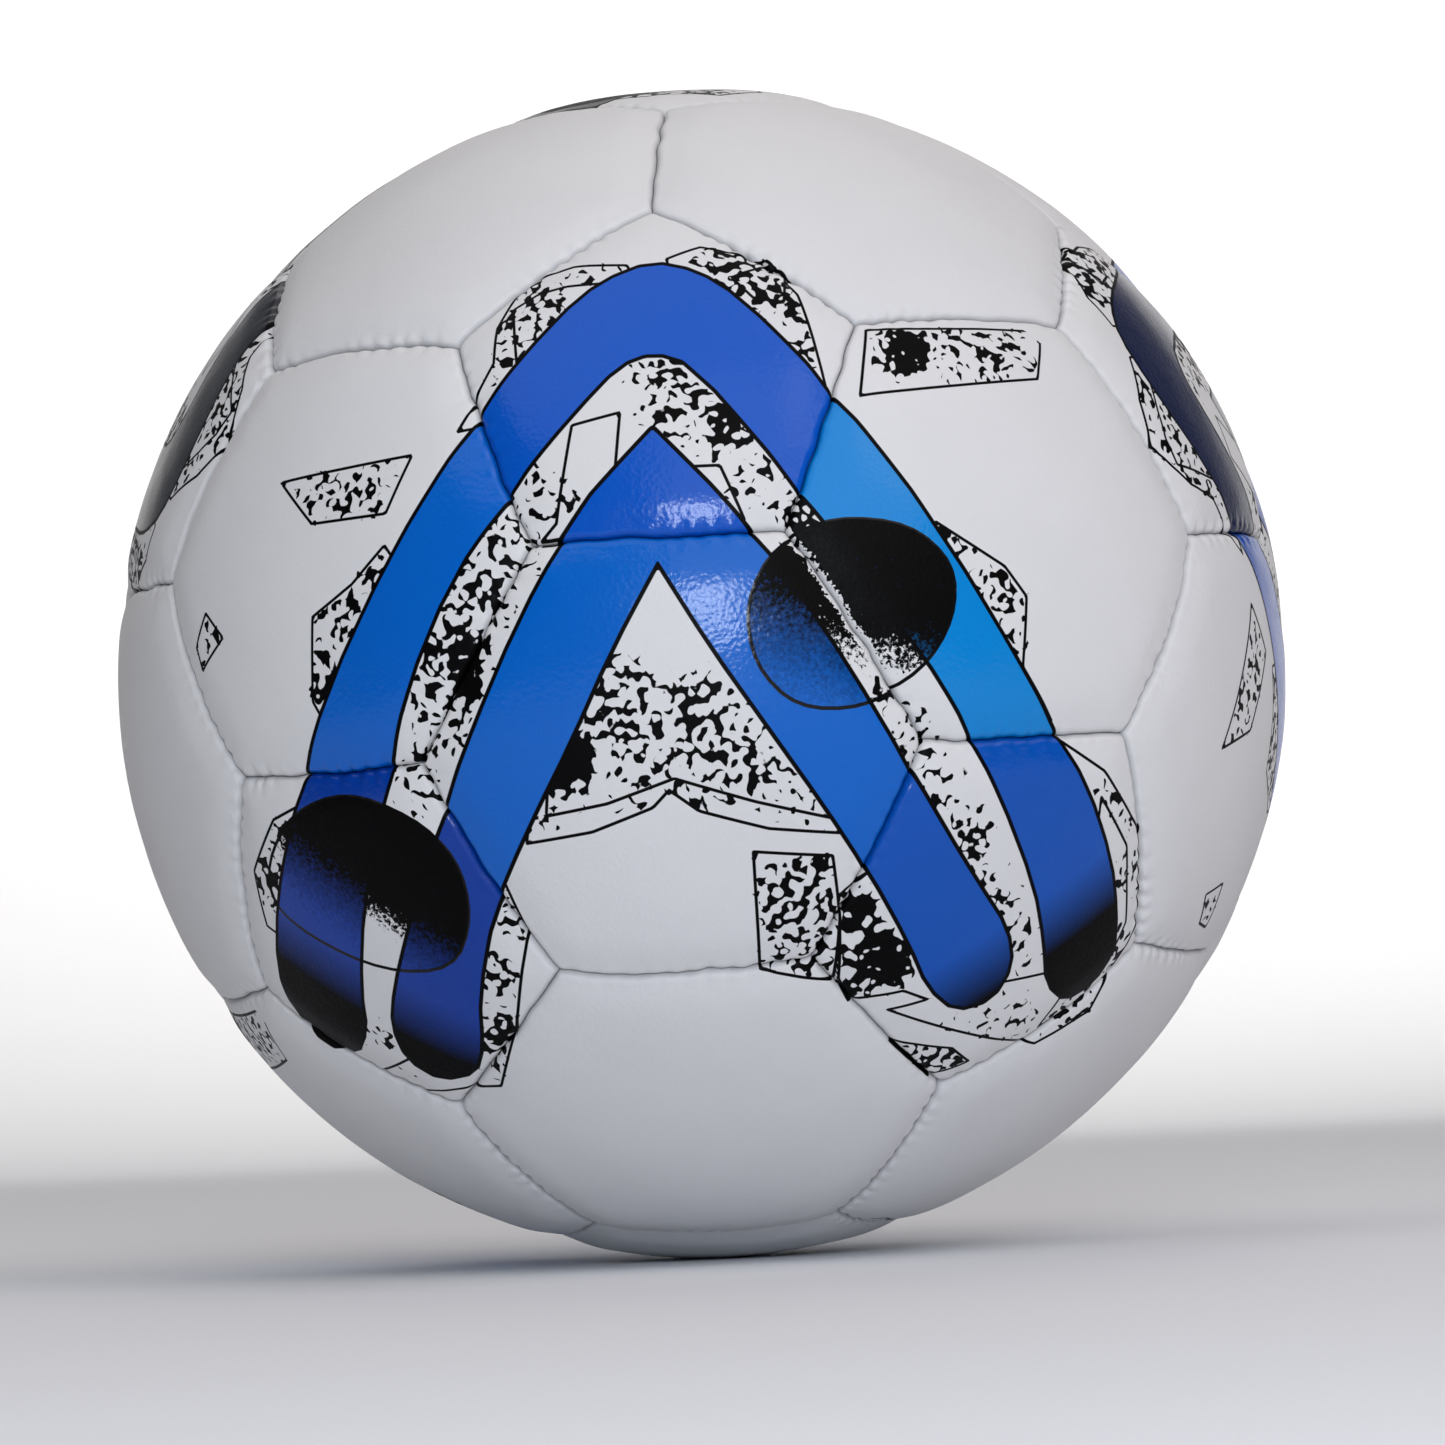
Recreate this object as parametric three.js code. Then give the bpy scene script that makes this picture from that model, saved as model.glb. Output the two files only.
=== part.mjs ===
// A size 5 soccer ball, as it comes apart on a bench: 32 cover panels (12 pentagons and 20 hexagons)
// with turned-in edges, the threads that sew them, a rubber bladder, and the valve in the bladder.
// Millimetres, +Z up, origin at the ball's centre. The ball rests on the middle of a pentagon.
import * as THREE from "three";
import { mergeVertices } from "three/addons/utils/BufferGeometryUtils.js";

// Driving dimensions.
const BALL_RADIUS = 110; // 691 mm round, inside the 680 to 700 mm of a size 5 ball
const PANEL_THICKNESS = 3.2; // skin, foam and cloth backing together
const SEAM_GAP = 0.3; // between the turned-in edges of two neighbours
const SEAM_DIP = 2; // how far the fold of an edge lies below the crown
const SHOULDER_INSET = 4.5; // where the crown starts to roll down to the fold
const SHOULDER_DROP = 0.4;
const EDGE_REACH = 6; // how far below the crown a turned-in edge ends
const EDGE_THICKNESS = 2.2;
const EDGE_LEAN = 0.8; // how much thicker the edge is where it leaves the panel's back
const THREAD_RADIUS = 0.45;
const BLADDER_THICKNESS = 0.8;
const VALVE_HEAD_RADIUS = 4.4;
const CLEARANCE = 0.3; // between two pieces that lie against each other

// Places worked out from them.
const SEAM_HALF = SEAM_GAP / 2;
const FOLD_RADIUS = BALL_RADIUS - SEAM_DIP;
const EDGE_END_RADIUS = BALL_RADIUS - EDGE_REACH;
const BACK_RADIUS = BALL_RADIUS - PANEL_THICKNESS;
const BLADDER_RADIUS = EDGE_END_RADIUS - CLEARANCE;
const THREAD_PATH_RADIUS = (FOLD_RADIUS + EDGE_END_RADIUS) / 2;
const THREAD_GROOVE = THREAD_RADIUS + CLEARANCE;
const THREAD_TRIM = 3 * THREAD_RADIUS + CLEARANCE; // keeps a free end clear of another thread
const VALVE_HOLE_RADIUS = VALVE_HEAD_RADIUS + CLEARANCE;

// How finely the round shapes are cut.
const STEPS_PER_SIDE = 3; // of a panel's side, which is a 44 mm arc
const MIDDLE_FLAT_RADIUS = 10; // the flat middle of a crown, on which the ball can rest
const BLADDER_TURNS = 24;
const BLADDER_STEPS = 12;
const VALVE_TURNS = 20;

// ---------------------------------------------------------------- materials

const finish = (color, roughness) =>
  new THREE.MeshStandardMaterial({ color, roughness, metalness: 0 });
const whiteCover = finish(0xd9dadd, 0.42);
const blueCover = finish(0x0b55bb, 0.35);
const threadYarn = finish(0xe9e9e4, 0.8);
const bladderRubber = finish(0x2a2a2c, 0.65);
const valveRubber = finish(0x161617, 0.55);
const patchCloth = finish(0xb9b3a2, 0.9);

function piece(name, geometry, material) {
  const mesh = new THREE.Mesh(geometry, material);
  mesh.name = name;
  return mesh;
}

// ---------------------------------------------------------------- the layout of the panels
// The panels are the faces of an icosahedron with its corners cut off a third of the way along
// each edge. Two corners of the icosahedron are the poles, and one of the upper ring faces -Y.

const FRONT = -90; // degrees from +X, as seen from above
const RING_HEIGHT = 1 / Math.sqrt(5);
const UP = new THREE.Vector3(0, 0, 1);

function ringCorner(turnFromFront, height) {
  const turn = THREE.MathUtils.degToRad(FRONT + turnFromFront);
  const corner = new THREE.Vector3(Math.cos(turn), Math.sin(turn), 0);
  return corner.setLength(2 * RING_HEIGHT).setZ(height);
}

const fifths = [0, 1, 2, 3, 4];
const corners = [
  UP,
  ...fifths.map((i) => ringCorner(72 * i, RING_HEIGHT)),
  ...fifths.map((i) => ringCorner(36 + 72 * i, -RING_HEIGHT)),
  UP.clone().negate(),
];

const NEIGHBOUR_DISTANCE = corners[0].distanceTo(corners[1]);
const areNeighbours = (a, b) => Math.abs(a.distanceTo(b) - NEIGHBOUR_DISTANCE) < 1e-6;

// The seam corner on the icosahedron's edge between two corners, a third of the way along.
const seamCorner = (from, to) => from.clone().multiplyScalar(2).add(to).normalize();

// A panel is its number of sides, and directions from the ball's centre to its middle and to one
// of its corners.
const pentagons = corners.map((corner) => {
  const neighbour = corners.find((other) => areNeighbours(corner, other));
  return { shape: "pentagon", sides: 5, middle: corner, firstCorner: seamCorner(corner, neighbour) };
});

const hexagons = corners.flatMap((a, i) =>
  corners.slice(i + 1).flatMap((b, j) =>
    corners
      .slice(i + j + 2)
      .filter((c) => areNeighbours(a, b) && areNeighbours(b, c) && areNeighbours(a, c))
      .map((c) => {
        const middle = a.clone().add(b).add(c).normalize();
        return { shape: "hexagon", sides: 6, middle, firstCorner: seamCorner(a, b) };
      }),
  ),
);
const panels = [...pentagons, ...hexagons];

// A panel's name is its shape, the ring that it lies in, and its number in the ring as the ball is
// walked round from the front. A ring is known by the height that its middles lie above.
const RINGS = {
  pentagon: { bottom: -1, lower: -0.5, upper: 0.4, top: 0.9 },
  hexagon: { lower: -0.8, lower_middle: -0.2, upper_middle: 0.1, upper: 0.7 },
};

function ringOf({ shape, middle }) {
  const isAbove = ([, low]) => middle.z > low - 1e-6;
  return Object.entries(RINGS[shape]).filter(isAbove).at(-1)[0];
}

function turnFromFront({ middle }) {
  const turn = THREE.MathUtils.radToDeg(Math.atan2(middle.y, middle.x)) - FRONT;
  return Math.round(turn + 360) % 360;
}

for (const panel of panels) {
  const ring = panels.filter((p) => p.shape === panel.shape && ringOf(p) === ringOf(panel));
  const before = ring.filter((p) => turnFromFront(p) < turnFromFront(panel));
  const number = ring.length > 1 ? `_${before.length + 1}` : "";
  panel.name = `${panel.shape}_${ringOf(panel)}${number}`;
}

const cornerAngleOf = (panel) => panel.middle.angleTo(panel.firstCorner);

// ---------------------------------------------------------------- surfaces between rings of points

// Triangles between two rings of equally many points.
const band = (ring, nextRing) =>
  ring.flatMap((point, j) => {
    const k = (j + 1) % ring.length;
    return [point, nextRing[j], nextRing[k], point, nextRing[k], ring[k]];
  });
const bands = (rings) => rings.slice(1).flatMap((ring, i) => band(rings[i], ring));

// Triangles from a point to a ring round it.
const fan = (tip, ring) => ring.flatMap((point, j) => [tip, point, ring[(j + 1) % ring.length]]);

const weld = (triangles) => mergeVertices(new THREE.BufferGeometry().setFromPoints(triangles));

// ---------------------------------------------------------------- cover panels
// A panel is a shallow dish, drawn with its middle on +Z and a corner towards +X. Rings of points
// run from the flat middle of the crown over the shoulder and the fold, down the turned-in edge,
// round its end, and back along the cloth side.

// A ring that keeps one distance from the planes of the panel's seams, and one from the centre.
function seamRing(sides, cornerAngle, inset, radius) {
  const cornerAt = (i) =>
    new THREE.Vector3(Math.sin(cornerAngle), 0, Math.cos(cornerAngle)).applyAxisAngle(
      UP,
      (i * 2 * Math.PI) / sides,
    );
  const inward = (i) => new THREE.Vector3().crossVectors(cornerAt(i), cornerAt(i + 1)).normalize();
  const ring = [];
  for (let side = 0; side < sides; side++) {
    for (let step = 0; step < STEPS_PER_SIDE; step++) {
      const along = cornerAt(side).lerp(cornerAt(side + 1), step / STEPS_PER_SIDE).normalize();
      const offset = inward(side);
      if (step === 0) {
        const previous = inward(side - 1);
        offset.add(previous).divideScalar(1 + previous.dot(inward(side)));
      }
      offset.multiplyScalar(inset);
      ring.push(along.multiplyScalar(Math.sqrt(radius ** 2 - offset.lengthSq())).add(offset));
    }
  }
  return ring;
}

// A ring half way from the middle to the seam.
const halfwayRing = (seam, radius) =>
  seam.map((point) => point.clone().normalize().add(UP).setLength(radius));

// A round ring about the panel's middle, at one height.
const roundRing = (seam, ringRadius, height) =>
  seam.map((point) => point.clone().setZ(0).setLength(ringRadius).setZ(height));

// A hole of no size leaves the panel whole.
function panelGeometry(sides, cornerAngle, holeRadius) {
  const seam = (inset, radius) => seamRing(sides, cornerAngle, inset, radius);
  const fold = seam(SEAM_HALF, FOLD_RADIUS);
  const crown = roundRing(fold, MIDDLE_FLAT_RADIUS, BALL_RADIUS);
  const back = roundRing(fold, MIDDLE_FLAT_RADIUS, BACK_RADIUS);
  const body = bands([
    crown,
    halfwayRing(fold, BALL_RADIUS),
    seam(SHOULDER_INSET, BALL_RADIUS - SHOULDER_DROP),
    fold,
    seam(THREAD_GROOVE, THREAD_PATH_RADIUS),
    seam(SEAM_HALF, EDGE_END_RADIUS),
    seam(SEAM_HALF + EDGE_THICKNESS, EDGE_END_RADIUS),
    seam(SEAM_HALF + EDGE_THICKNESS + EDGE_LEAN, BACK_RADIUS),
    back,
  ]);
  if (holeRadius > 0) {
    const mouth = roundRing(fold, holeRadius, BALL_RADIUS);
    const backMouth = roundRing(fold, holeRadius, BACK_RADIUS);
    return weld([...body, ...bands([back, backMouth, mouth, crown])]);
  }
  const crownMiddle = new THREE.Vector3(0, 0, BALL_RADIUS);
  const backMiddle = new THREE.Vector3(0, 0, BACK_RADIUS);
  return weld([...fan(crownMiddle, crown), ...body, ...fan(backMiddle, back.reverse())]);
}

function placePanel(panel, geometry, material) {
  const mesh = piece(panel.name, geometry, material);
  const sideways = new THREE.Vector3().crossVectors(panel.middle, panel.firstCorner).normalize();
  const towardsCorner = new THREE.Vector3().crossVectors(sideways, panel.middle);
  const basis = new THREE.Matrix4().makeBasis(towardsCorner, sideways, panel.middle);
  mesh.quaternion.setFromRotationMatrix(basis);
  return mesh;
}

const cover = new THREE.Group();

const pentagonAngle = cornerAngleOf(pentagons[0]);
const pentagonShape = panelGeometry(5, pentagonAngle, 0);
const valvePanelShape = panelGeometry(5, pentagonAngle, VALVE_HOLE_RADIUS);
for (const panel of pentagons) {
  const isValvePanel = panel.middle === UP;
  cover.add(placePanel(panel, isValvePanel ? valvePanelShape : pentagonShape, blueCover));
}

const hexagonShape = panelGeometry(6, cornerAngleOf(hexagons[0]), 0);
for (const panel of hexagons) cover.add(placePanel(panel, hexagonShape, whiteCover));

// ---------------------------------------------------------------- sewing threads
// The panels are sewn into an upper and a lower half of 16, and a closing seam joins the halves.
// Each thread lies between the turned-in edges, in a groove that both share. A thread is a net of
// strands, whose section is a square stood on its corner.

const seamCorners = corners.flatMap((from) =>
  corners.filter((to) => areNeighbours(from, to)).map((to) => seamCorner(from, to)),
);
const SEAM_CHORD = Math.min(...seamCorners.slice(1).map((c) => c.distanceTo(seamCorners[0])));

// A seam inside a half is sewn with that half's thread.
function threadOf(from, to) {
  const hasCorner = (panel, corner) =>
    Math.abs(panel.middle.angleTo(corner) - cornerAngleOf(panel)) < 1e-6;
  const areUpper = panels
    .filter((panel) => hasCorner(panel, from) && hasCorner(panel, to))
    .map((panel) => panel.middle.z > 0);
  if (areUpper[0] !== areUpper[1]) return "closing";
  return areUpper[0] ? "upper" : "lower";
}

const seams = seamCorners.flatMap((from, i) =>
  seamCorners
    .slice(i + 1)
    .filter((to) => from.distanceTo(to) < SEAM_CHORD * 1.01)
    .map((to) => ({ from, to, thread: threadOf(from, to) })),
);

// The points above, left, below and right of a strand's middle, as seen when walking along it.
function strandSection(middle, left) {
  const up = middle.clone().normalize();
  return [up, left, up.clone().negate(), left.clone().negate()].map((side) =>
    middle.clone().addScaledVector(side, THREAD_RADIUS),
  );
}

// The section of the strand that leaves a corner for one end, where others leave it too. Neighbours
// share the point half way between them.
function jointSection(corner, end, otherEnds) {
  const middle = corner.clone().setLength(THREAD_PATH_RADIUS);
  const ahead = end.clone().projectOnPlane(corner).normalize();
  const left = new THREE.Vector3().crossVectors(corner, ahead);
  const turns = otherEnds.map((other) => {
    const turn = Math.atan2(other.dot(left), other.dot(ahead));
    return turn > 0 ? turn : turn + 2 * Math.PI;
  });
  const halfWay = (turn) =>
    ahead
      .clone()
      .applyAxisAngle(corner, turn / 2)
      .multiplyScalar(THREAD_RADIUS / Math.abs(Math.sin(turn / 2)))
      .add(middle);
  const [above, , below] = strandSection(middle, left);
  return [above, halfWay(Math.min(...turns)), below, halfWay(Math.max(...turns) - 2 * Math.PI)];
}

const cap = ([a, b, c, d]) => [a, b, c, a, c, d];

function strand(from, to, endsFrom) {
  const left = new THREE.Vector3().crossVectors(from, to).normalize();
  const trim = THREAD_TRIM / (from.angleTo(to) * THREAD_PATH_RADIUS);
  const sectionAt = (share) =>
    strandSection(from.clone().lerp(to, share).setLength(THREAD_PATH_RADIUS), left);
  const othersAtStart = endsFrom(from).filter((end) => end !== to);
  const othersAtEnd = endsFrom(to).filter((end) => end !== from);
  const isFreeAtStart = othersAtStart.length === 0;
  const isFreeAtEnd = othersAtEnd.length === 0;

  const rings = [isFreeAtStart ? sectionAt(trim) : jointSection(from, to, othersAtStart)];
  for (let step = 1; step < STEPS_PER_SIDE; step++) rings.push(sectionAt(step / STEPS_PER_SIDE));
  if (isFreeAtEnd) {
    rings.push(sectionAt(1 - trim));
  } else {
    const [above, right, below, itsLeft] = jointSection(to, from, othersAtEnd);
    rings.push([above, itsLeft, below, right]);
  }

  const triangles = bands(rings);
  if (isFreeAtStart) triangles.push(...cap(rings[0]));
  if (isFreeAtEnd) triangles.push(...cap(rings.at(-1).reverse()));
  return triangles;
}

function threadGeometry(thread) {
  const own = seams.filter((seam) => seam.thread === thread);
  const endsFrom = (corner) => [
    ...own.filter((seam) => seam.from === corner).map((seam) => seam.to),
    ...own.filter((seam) => seam.to === corner).map((seam) => seam.from),
  ];
  return weld(own.flatMap(({ from, to }) => strand(from, to, endsFrom)));
}

const threads = new THREE.Group();
threads.add(piece("thread_upper_half", threadGeometry("upper"), threadYarn));
threads.add(piece("thread_lower_half", threadGeometry("lower"), threadYarn));
threads.add(piece("thread_closing_seam", threadGeometry("closing"), threadYarn));

// ---------------------------------------------------------------- turned pieces
// The bladder and the valve are turned about the valve's axis, which is +Z. A profile's points are
// pairs of radius and height.

function turned(profile, turns) {
  const points = profile.map(([radius, height]) => new THREE.Vector2(radius, height));
  return new THREE.LatheGeometry(points, turns).rotateX(Math.PI / 2);
}

// Points on a circle about the ball's centre, between two angles from +Z.
function arc(radius, fromAngle, toAngle, steps) {
  return Array.from({ length: steps + 1 }, (_, i) => {
    const angle = THREE.MathUtils.lerp(fromAngle, toAngle, i / steps);
    return [radius * Math.sin(angle), radius * Math.cos(angle)];
  });
}

// The shell between two radii, from one angle to -Z, where its profile closes on the axis.
function shellProfile(outer, inner, fromAngle, steps) {
  return [
    [0, -outer],
    ...arc(outer, Math.PI, fromAngle, steps).slice(1),
    ...arc(inner, fromAngle, Math.PI, steps).slice(0, -1),
    [0, -inner],
  ];
}

// ---------------------------------------------------------------- bladder
// A butyl rubber balloon with a mouth that the valve is bonded into.

const STEM_RADIUS = 5;
const mouthAngle = Math.asin((STEM_RADIUS + CLEARANCE) / (BLADDER_RADIUS - BLADDER_THICKNESS));
const bladder = piece(
  "bladder",
  turned(
    shellProfile(BLADDER_RADIUS, BLADDER_RADIUS - BLADDER_THICKNESS, mouthAngle, BLADDER_STEPS),
    BLADDER_TURNS,
  ),
  bladderRubber,
);

// A rubber disc is glued to the bladder opposite the valve, whose weight it balances.
const BALANCE_RADIUS = 18;
const BALANCE_THICKNESS = 1;
const balanceInner = BLADDER_RADIUS + CLEARANCE;
const balanceAngle = Math.PI - Math.asin(BALANCE_RADIUS / BLADDER_RADIUS);
const balancePatch = piece(
  "balance_patch",
  turned(
    shellProfile(balanceInner + BALANCE_THICKNESS, balanceInner, balanceAngle, 2),
    BLADDER_TURNS,
  ),
  bladderRubber,
);

// ---------------------------------------------------------------- valve
// The body's head fills the panel's hole, its plate lies on the bladder, and its stem hangs inside.

const HEAD_TOP = BALL_RADIUS - 0.9;
const PLATE_RADIUS = 9.5;
const PLATE_THICKNESS = 0.8;
const PLATE_BOTTOM = BLADDER_RADIUS + CLEARANCE;
const PLATE_TOP = PLATE_BOTTOM + PLATE_THICKNESS;
const VALVE_LENGTH = 17;
const STEM_BOTTOM = HEAD_TOP - VALVE_LENGTH;
const CORE_RADIUS = 2.6;
const BORE_RADIUS = CORE_RADIUS + CLEARANCE;
const LIP_RADIUS = 1.5; // the lip at the stem's foot holds the core in
const LIP_TOP = STEM_BOTTOM + 1.5;
const STEM_CHAMFER = 0.8;
const HEAD_CHAMFER = 0.4;
const valveBody = piece(
  "valve_body",
  turned(
    [
      [LIP_RADIUS, STEM_BOTTOM],
      [STEM_RADIUS - STEM_CHAMFER, STEM_BOTTOM],
      [STEM_RADIUS, STEM_BOTTOM + STEM_CHAMFER],
      [STEM_RADIUS, PLATE_BOTTOM],
      [PLATE_RADIUS, PLATE_BOTTOM],
      [PLATE_RADIUS, PLATE_TOP],
      [VALVE_HEAD_RADIUS, PLATE_TOP],
      [VALVE_HEAD_RADIUS, HEAD_TOP - HEAD_CHAMFER],
      [VALVE_HEAD_RADIUS - HEAD_CHAMFER, HEAD_TOP],
      [BORE_RADIUS, HEAD_TOP],
      [BORE_RADIUS, LIP_TOP],
      [LIP_RADIUS, LIP_TOP],
      [LIP_RADIUS, STEM_BOTTOM],
    ],
    VALVE_TURNS,
  ),
  valveRubber,
);

// The core is a soft plug with a funnel for the pump needle. Below the funnel is a slit that the
// needle opens and the air closes, so the solid is blind there.
const NEEDLE_RADIUS = 1.2; // a pump needle is 2.2 to 2.4 mm thick
const FUNNEL_RADIUS = 1.9;
const FUNNEL_DEPTH = 1.5;
const CORE_BOTTOM = LIP_TOP + CLEARANCE;
const CORE_TOP = HEAD_TOP - 0.5;
const SLIT_TOP = CORE_BOTTOM + 3;
const valveCore = piece(
  "valve_core",
  turned(
    [
      [0, CORE_BOTTOM],
      [CORE_RADIUS, CORE_BOTTOM],
      [CORE_RADIUS, CORE_TOP],
      [FUNNEL_RADIUS, CORE_TOP],
      [NEEDLE_RADIUS, CORE_TOP - FUNNEL_DEPTH],
      [NEEDLE_RADIUS, SLIT_TOP],
      [0, SLIT_TOP - NEEDLE_RADIUS],
    ],
    VALVE_TURNS,
  ),
  valveRubber,
);

// A cloth ring is glued behind the valve panel, round the hole.
const REINFORCEMENT_RADIUS = 9.5;
const REINFORCEMENT_THICKNESS = 0.7;
const reinforcementBottom = PLATE_TOP + CLEARANCE;
const reinforcementTop = reinforcementBottom + REINFORCEMENT_THICKNESS;
const valveReinforcement = piece(
  "valve_reinforcement",
  turned(
    [
      [VALVE_HOLE_RADIUS, reinforcementBottom],
      [REINFORCEMENT_RADIUS, reinforcementBottom],
      [REINFORCEMENT_RADIUS, reinforcementTop],
      [VALVE_HOLE_RADIUS, reinforcementTop],
      [VALVE_HOLE_RADIUS, reinforcementBottom],
    ],
    VALVE_TURNS,
  ),
  patchCloth,
);

const inside = new THREE.Group();
inside.add(bladder, balancePatch, valveBody, valveCore, valveReinforcement);

const ball = new THREE.Group();
ball.add(cover, threads, inside);

export default ball;
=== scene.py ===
import math
import bpy
import numpy as np
from mathutils import Matrix, Vector


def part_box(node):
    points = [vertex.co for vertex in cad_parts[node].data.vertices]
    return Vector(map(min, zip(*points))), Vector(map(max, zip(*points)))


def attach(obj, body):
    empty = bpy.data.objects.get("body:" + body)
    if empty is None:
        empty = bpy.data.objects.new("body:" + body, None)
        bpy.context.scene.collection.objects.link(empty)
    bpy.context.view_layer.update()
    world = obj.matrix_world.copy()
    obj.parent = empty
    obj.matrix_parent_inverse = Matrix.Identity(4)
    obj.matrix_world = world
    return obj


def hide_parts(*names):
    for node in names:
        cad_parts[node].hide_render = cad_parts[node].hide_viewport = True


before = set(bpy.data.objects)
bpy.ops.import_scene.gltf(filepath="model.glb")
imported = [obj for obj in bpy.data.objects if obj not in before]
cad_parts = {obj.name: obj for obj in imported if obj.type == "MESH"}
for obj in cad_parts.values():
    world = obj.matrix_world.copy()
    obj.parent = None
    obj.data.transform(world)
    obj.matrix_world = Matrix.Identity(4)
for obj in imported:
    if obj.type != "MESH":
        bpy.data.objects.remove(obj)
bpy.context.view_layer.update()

MM = 0.001
BALL_MM = 110
BALL_RADIUS = BALL_MM * MM

# ---------------------------------------------------------------------------
# The view: a long lens 1.3 m from the ball, just above the floor, so the ball
# stands as a nearly true circle and its front hexagon faces the eye.
# ---------------------------------------------------------------------------
VIEW_RIGHT = Vector((0.9970, 0.0622, -0.0465))
VIEW_UP = Vector((0.0497, -0.0504, 0.9975))
VIEW_BACK = VIEW_RIGHT.cross(VIEW_UP).normalized()
VIEW_DISTANCE = 12 * BALL_RADIUS

lens = bpy.data.cameras.new("long_lens")
lens.sensor_width = 36
lens.lens = 174.2
lens.shift_x = 0.0145
lens.shift_y = -0.0341
camera = bpy.data.objects.new("long_lens", lens)
bpy.context.scene.collection.objects.link(camera)
view_turn = Matrix((VIEW_RIGHT, VIEW_UP, VIEW_BACK)).transposed().to_4x4()
camera.matrix_world = Matrix.Translation(VIEW_BACK * VIEW_DISTANCE) @ view_turn
bpy.context.scene.camera = camera
bpy.context.scene.view_settings.view_transform = "Standard"


# ---------------------------------------------------------------------------
# The studio: a sheet of pale paper that runs under the ball and sweeps up
# behind it, broad soft lights in front, above and behind, and a small lamp just
# over the lens, which puts a glint on the front panel.
# ---------------------------------------------------------------------------
def linear(hex_colour):
    """The linear red, green, blue and alpha of an sRGB hex colour."""
    parts = [int(hex_colour[i:i + 2], 16) / 255 for i in (1, 3, 5)]
    return [p / 12.92 if p <= 0.04045 else ((p + 0.055) / 1.055) ** 2.4 for p in parts] + [1]


def add_node(tree, kind, settings=None, links=None):
    """Adds a node, sets its properties, and fills its inputs with values or other outputs."""
    node = tree.nodes.new("ShaderNode" + kind)
    for name, value in (settings or {}).items():
        setattr(node, name, value)
    for name, value in (links or {}).items():
        if isinstance(value, bpy.types.NodeSocket):
            tree.links.new(value, node.inputs[name])
        else:
            node.inputs[name].default_value = value
    return node


def new_material(name, settings):
    """A material with only its surface shader, set to what the real finish gives."""
    material = bpy.data.materials.new(name)
    material.use_nodes = True
    shader = material.node_tree.nodes["Principled BSDF"]
    for socket, value in settings.items():
        shader.inputs[socket].default_value = value
    return material, material.node_tree, shader


def start_fresh():
    """Leaves nothing selected, so the next operator acts on the new piece only."""
    if bpy.context.object and bpy.context.object.mode != "OBJECT":
        bpy.ops.object.mode_set(mode="OBJECT")
    bpy.ops.object.select_all(action="DESELECT")


# Matte studio paper: a flat pale face with a faint fibre, about 1 mm apart, which shows as a
# soft even tone. A noise's scale counts its cells to the metre, here and in every material.
paper, tree, shader = new_material("matte_studio_paper", {"Roughness": 0.9})
place = add_node(tree, "TexCoord").outputs["Object"]
fibre = add_node(tree, "TexNoise", None, {"Vector": place, "Scale": 900, "Detail": 3})
tone = add_node(tree, "MixRGB", None, {
    "Fac": fibre.outputs["Fac"], "Color1": linear("#e2e5ea"), "Color2": linear("#eaecf0")})
tree.links.new(tone.outputs["Color"], shader.inputs["Base Color"])

SWEEP_WIDTH = 9.0
SWEEP_RADIUS = 2.2
SWEEP_START = 1.4
SWEEP_HEIGHT = 4.5
start_fresh()
bpy.ops.mesh.primitive_plane_add(size=SWEEP_WIDTH, location=(0, 0, -BALL_RADIUS))
sweep = bpy.context.object
sweep.name = "studio_paper"
bpy.ops.object.transform_apply(location=True, rotation=False, scale=False)
for v in sweep.data.vertices:
    v.co.y = SWEEP_START if v.co.y > 0 else -SWEEP_WIDTH / 2
bpy.ops.object.mode_set(mode="EDIT")
bpy.ops.mesh.select_mode(type="EDGE")
bpy.ops.mesh.select_all(action="DESELECT")
bpy.ops.object.mode_set(mode="OBJECT")
for e in sweep.data.edges:
    e.select = all(sweep.data.vertices[i].co.y > 0 for i in e.vertices)
bpy.ops.object.mode_set(mode="EDIT")
bpy.ops.mesh.spin(steps=32, angle=-math.pi / 2, axis=(1, 0, 0),
                  center=(0, SWEEP_START, -BALL_RADIUS + SWEEP_RADIUS))
bpy.ops.mesh.extrude_region_move(TRANSFORM_OT_translate={"value": (0, 0, SWEEP_HEIGHT)})
bpy.ops.mesh.select_all(action="SELECT")
bpy.ops.mesh.remove_doubles(threshold=MM)
bpy.ops.mesh.normals_make_consistent(inside=False)
bpy.ops.object.mode_set(mode="OBJECT")
bpy.ops.object.shade_smooth()
sweep.data.materials.append(paper)


def add_light(name, towards, distance, size, power, colour):
    """A round soft light, in metres and watts, placed by the view's own right, up and back."""
    light = bpy.data.lights.new(name, "AREA")
    light.shape = "DISK"
    light.size = size
    light.energy = power
    light.color = linear(colour)[:3]
    lamp = bpy.data.objects.new(name, light)
    bpy.context.scene.collection.objects.link(lamp)
    side, rise, near = towards
    way = (VIEW_RIGHT * side + VIEW_UP * rise + VIEW_BACK * near).normalized()
    lamp.location = way * distance
    lamp.rotation_euler = way.to_track_quat("Z", "Y").to_euler()


add_light("front_softbox", (0.28, 0.56, 0.78), 2.7, 2.6, 20, "#fffdfc")
add_light("upper_right_softbox", (0.8, 1.1, 0.35), 2.4, 2.4, 12.5, "#fff0ec")
add_light("upper_left_softbox", (-0.45, 1.3, 0.35), 2.6, 2.8, 16, "#fff8f2")
add_light("rear_softbox", (-0.1, 1.1, -0.75), 2.6, 2.2, 11, "#fffdfc")
add_light("lens_lamp", (0.02, 0.22, 0.97), 1.6, 0.36, 7.6, "#e6f1ff")

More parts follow.
